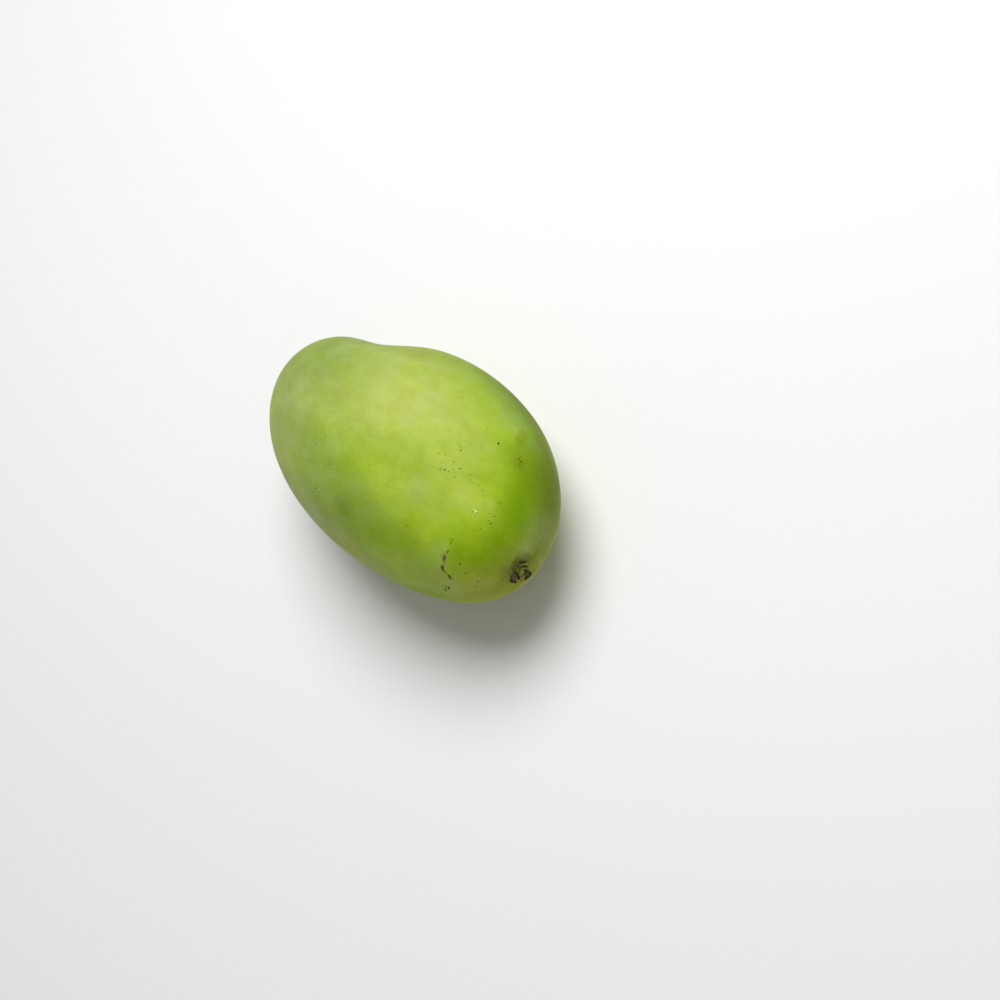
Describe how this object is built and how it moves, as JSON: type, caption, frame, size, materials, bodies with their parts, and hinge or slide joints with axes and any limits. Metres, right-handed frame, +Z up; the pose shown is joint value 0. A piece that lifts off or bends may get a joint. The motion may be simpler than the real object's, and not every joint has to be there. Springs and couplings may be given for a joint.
{
  "type": "mango",
  "caption": "Whole green mango with a beak and sinus near the apex and a corky stem scar, lying on one cheek.",
  "frame": {"origin": "on the surface the fruit lies on, under the middle of its bounding box", "axes": "+X from the apex to the stem end, +Y towards the side with the sinus and the beak, +Z up through the upper cheek"},
  "size_m": [0.128, 0.0776, 0.0672],
  "materials": {
    "green_skin": "waxy satin fruit skin, pale yellow green on the cheeks and deeper green towards the stem end",
    "scar_cork": "dry dark brown corky tissue of the stem scar and of healed scratches",
    "dried_sap": "small clear glossy drop of dried sap"
  },
  "bodies": {
    "root": {"mango": "green_skin"}
  },
  "joints": []
}
